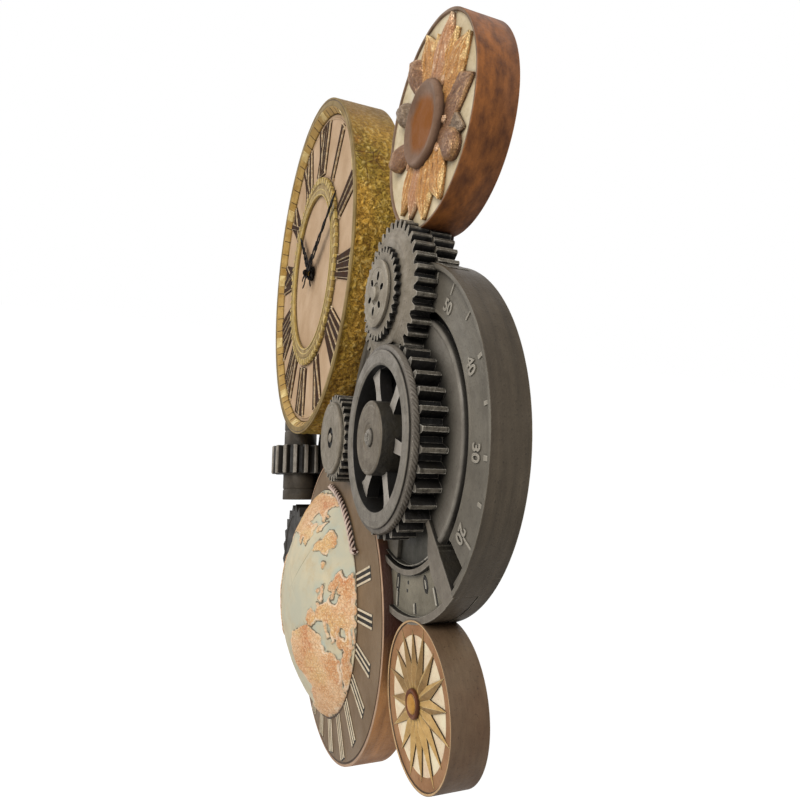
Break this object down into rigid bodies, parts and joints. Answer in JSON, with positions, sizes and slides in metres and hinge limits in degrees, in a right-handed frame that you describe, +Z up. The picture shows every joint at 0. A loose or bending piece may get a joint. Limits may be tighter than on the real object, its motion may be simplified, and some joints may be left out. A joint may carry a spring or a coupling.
{
  "type": "wall clock",
  "caption": "Sculptural wall clock: a main dial with serpentine hands beside cast gears, a number dial, a globe, a sextant arc and two medallions on one backing plate.",
  "frame": {"origin": "the hanging point: where the nail's shank meets the wall plane, in the hanger's keyhole", "axes": "+Y into the wall, so the front faces -Y; +Z up; +X to the right of a person facing the clock"},
  "size_m": [0.5, 0.0577, 0.5255],
  "materials": {
    "backing": "dark red-brown paint on cast resin",
    "ochre_gold": "hammered antique gold paint on cast resin",
    "pale_gold": "worn pale gold paint on cast resin",
    "taupe": "matt taupe paint on cast resin",
    "copper_brown": "brushed copper-brown paint on cast resin",
    "bronze": "antique bronze paint on cast resin",
    "pewter": "antique pewter paint on cast resin, light on worn edges",
    "dark_pewter": "dark pewter paint on cast resin",
    "sea": "pale grey-green sea with textured orange-cream land, matt",
    "black_metal": "black lacquered brass sheet",
    "black_plastic": "moulded black plastic",
    "steel": "plain zinc-plated steel",
    "brass": "plain brass",
    "copper_wire": "enamelled copper wire",
    "circuit_green": "green solder mask",
    "cell_skin": "plain printed sleeve, no marks"
  },
  "bodies": {
    "clock": {"backing_plate": "backing", "hanger_plate": "steel", "hanger_screw_1": "steel", "hanger_screw_2": "steel", "case_screw_main_a": "steel", "case_screw_main_b": "steel", "case_screw_dial": "steel", "case_screw_globe": "steel", "case_screw_rosette": "steel", "case_screw_sun": "steel", "main_case": "ochre_gold", "dial_plate": "taupe", "inner_ring": "pale_gold", "movement_case": "black_plastic", "fixing_nut": "brass", "movement_cover": "black_plastic", "stator": "steel", "coil": "copper_wire", "circuit_board": "circuit_green", "battery": "cell_skin", "contact_plus": "steel", "contact_minus": "steel", "rosette_drum": "copper_brown", "rosette_leaves": "bronze", "rosette_boss": "bronze", "sun_drum": "taupe", "sun_star": "pale_gold", "sun_boss": "bronze", "number_dial": "pewter", "inner_disc": "pewter", "large_gear": "dark_pewter", "knurled_collar": "pewter", "spoked_wheel": "pewter", "wheel_hub": "pewter", "hub_bolt": "pewter", "upper_gear_base": "dark_pewter", "upper_gear": "pewter", "top_gear": "pewter", "top_gear_cap": "pewter", "small_gear": "pewter", "small_gear_cap": "pewter", "pinion_roller": "dark_pewter", "rear_gear": "dark_pewter", "globe_ring": "taupe", "globe_dome": "sea", "rope_trim": "pale_gold", "sextant_frame": "pewter", "sextant_scale": "dark_pewter"},
    "minute_arbor": {"minute_hand": "black_metal", "hand_nut": "black_metal", "centre_wheel": "brass"},
    "hour_tube": {"hour_hand": "black_metal", "hour_wheel": "brass"},
    "motion_wheel": {"motion_wheel": "brass"},
    "third_wheel": {"third_wheel": "brass"},
    "rotor": {"rotor": "steel"},
    "set_knob": {"set_knob": "black_plastic"}
  },
  "joints": [
    {"name": "minute_turn", "type": "hinge", "parent": "clock", "child": "minute_arbor", "pos_m": [-0.1078, -0.039, -0.0664], "axis": [0, 1, 0], "continuous": true},
    {"name": "hour_turn", "type": "hinge", "parent": "clock", "child": "hour_tube", "pos_m": [-0.1078, -0.0365, -0.0664], "axis": [0, 1, 0], "continuous": true},
    {"name": "motion_turn", "type": "hinge", "parent": "clock", "child": "motion_wheel", "pos_m": [-0.09921, -0.0229, -0.05993], "axis": [0, 1, 0], "continuous": true},
    {"name": "third_turn", "type": "hinge", "parent": "clock", "child": "third_wheel", "pos_m": [-0.11634, -0.0175, -0.0602], "axis": [0, 1, 0], "continuous": true},
    {"name": "rotor_turn", "type": "hinge", "parent": "clock", "child": "rotor", "pos_m": [-0.11953, -0.0148, -0.05141], "axis": [0, 1, 0], "continuous": true},
    {"name": "knob_turn", "type": "hinge", "parent": "clock", "child": "set_knob", "pos_m": [-0.09275, -0.0096, -0.06852], "axis": [0, 1, 0], "continuous": true}
  ],
  "couplings": [
    {"joint": "hour_turn", "follows": "minute_turn", "ratio": 0.083333},
    {"joint": "motion_turn", "follows": "minute_turn", "ratio": -0.33333},
    {"joint": "third_turn", "follows": "minute_turn", "ratio": -7.5},
    {"joint": "rotor_turn", "follows": "minute_turn", "ratio": 60},
    {"joint": "knob_turn", "follows": "minute_turn", "ratio": 1}
  ]
}
